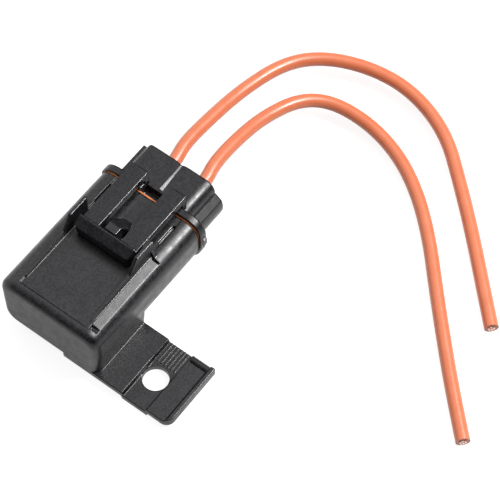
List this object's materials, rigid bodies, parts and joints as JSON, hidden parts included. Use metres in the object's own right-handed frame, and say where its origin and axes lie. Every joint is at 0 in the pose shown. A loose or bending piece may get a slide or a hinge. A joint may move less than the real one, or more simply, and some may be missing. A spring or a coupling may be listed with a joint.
{
  "type": "inline fuse holder",
  "caption": "Sealed in-line blade fuse holder with a latched pull-off cover, mounting ear and two short wires.",
  "frame": {"origin": "centre of the mounting ear's hole, on the face that meets the panel", "axes": "+Z out of the panel along the hole, +X from the cover towards the ear's free end, +Y from the cover's closed end towards the wires"},
  "size_m": [0.1183, 0.123, 0.0265],
  "materials": {
    "black_moulding": "satin moulded, fine grain",
    "orange_silicone": "matt silicone",
    "orange_insulation": "smooth extruded sheath",
    "copper_strands": "bare copper strands",
    "tinned_brass": "tin plated",
    "fuse_plastic": "tinted plastic",
    "zinc_alloy": "plain stamping"
  },
  "bodies": {
    "holder": {"holder_body": "black_moulding", "cover_seal": "orange_silicone", "terminal_left": "tinned_brass", "terminal_right": "tinned_brass", "wire_seal_left": "orange_silicone", "wire_seal_right": "orange_silicone", "lead_left": "orange_insulation", "lead_right": "orange_insulation", "conductor_left": "copper_strands", "conductor_right": "copper_strands"},
    "cover": {"cover": "black_moulding"},
    "latch": {"latch_lever": "black_moulding"},
    "fuse": {"fuse_housing": "fuse_plastic", "fuse_element": "zinc_alloy"}
  },
  "joints": [
    {"name": "cover_slide", "type": "slide", "parent": "holder", "child": "cover", "axis": [0, -1, 0], "range_m": [0, 0.125]},
    {"name": "latch_flex", "type": "hinge", "parent": "holder", "child": "latch", "pos_m": [-0.0273, 0.0366, 0.02028], "axis": [-1, 0, 0], "range_deg": [0, 12], "stiffness_Nm_per_rad": 0.05},
    {"name": "fuse_pull", "type": "slide", "parent": "holder", "child": "fuse", "axis": [0, -1, 0], "range_m": [0, 0.025]}
  ],
  "couplings": [
    {"joint": "fuse_pull", "follows": "cover_slide", "ratio": 0.2}
  ]
}
